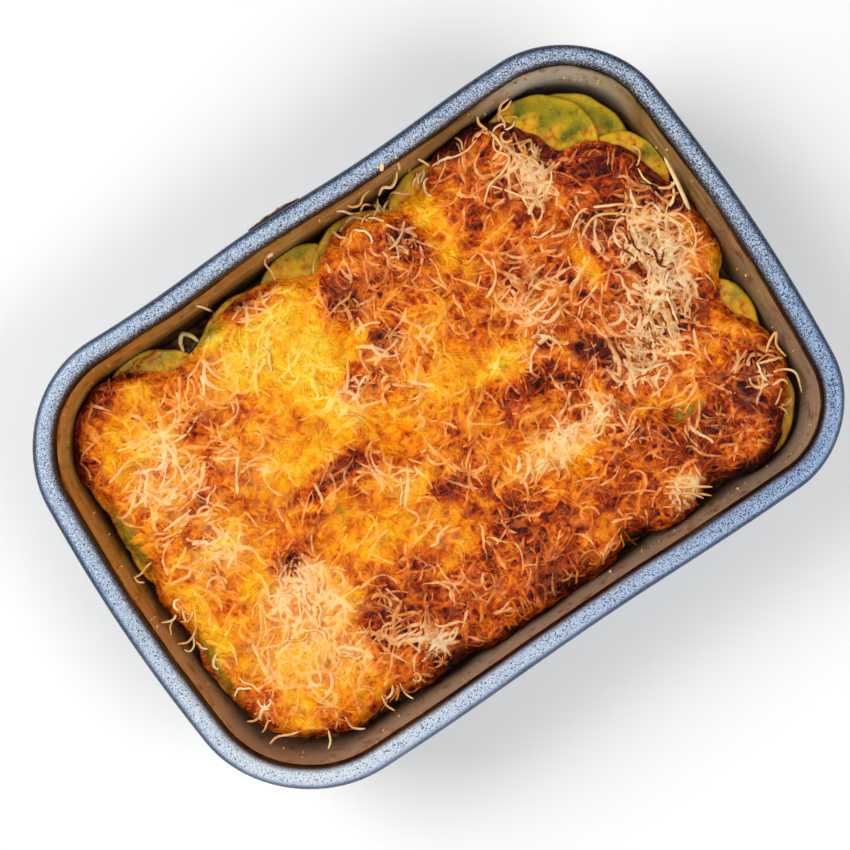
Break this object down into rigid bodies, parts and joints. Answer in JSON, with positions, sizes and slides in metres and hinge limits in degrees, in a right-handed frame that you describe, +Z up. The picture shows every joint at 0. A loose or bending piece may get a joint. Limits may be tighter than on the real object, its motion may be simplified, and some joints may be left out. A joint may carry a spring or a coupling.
{
  "type": "potato and cheese bake in dish",
  "caption": "Potato slices baked under browned shredded cheese in a deep rectangular stoneware dish with rounded corners.",
  "frame": {"origin": "on the table, at the centre of the part's box seen from above, under the middle of the foot", "axes": "+X along the long sides, +Y towards the side with the baked-on drip, +Z up out of the dish"},
  "size_m": [0.2994, 0.2096, 0.06],
  "materials": {
    "glazed_stoneware": "speckled blue-grey reactive glaze, darker where it breaks over the edges, tan inside",
    "browned_cheese": "melted cheese, oily and browned in patches, with shreds that kept their shape",
    "baked_potato": "soft, wet, slightly see-through potato",
    "baked_filling": "dark moist sauce between the slices",
    "pale_strand": "soft pale strand",
    "baked_on_sauce": "sauce burnt on to the glaze"
  },
  "bodies": {
    "root": {"stoneware_dish": "glazed_stoneware", "potato_filling": "baked_filling", "cheese_topping": "browned_cheese", "potato_slice_01": "baked_potato", "potato_slice_02": "baked_potato", "potato_slice_03": "baked_potato", "potato_slice_04": "baked_potato", "potato_slice_05": "baked_potato", "potato_slice_06": "baked_potato", "potato_slice_07": "baked_potato", "potato_slice_08": "baked_potato", "potato_slice_09": "baked_potato", "potato_slice_10": "baked_potato", "potato_slice_11": "baked_potato", "potato_slice_12": "baked_potato", "potato_slice_13": "baked_potato", "curled_strand": "pale_strand", "baked_on_drip": "baked_on_sauce"}
  },
  "joints": []
}
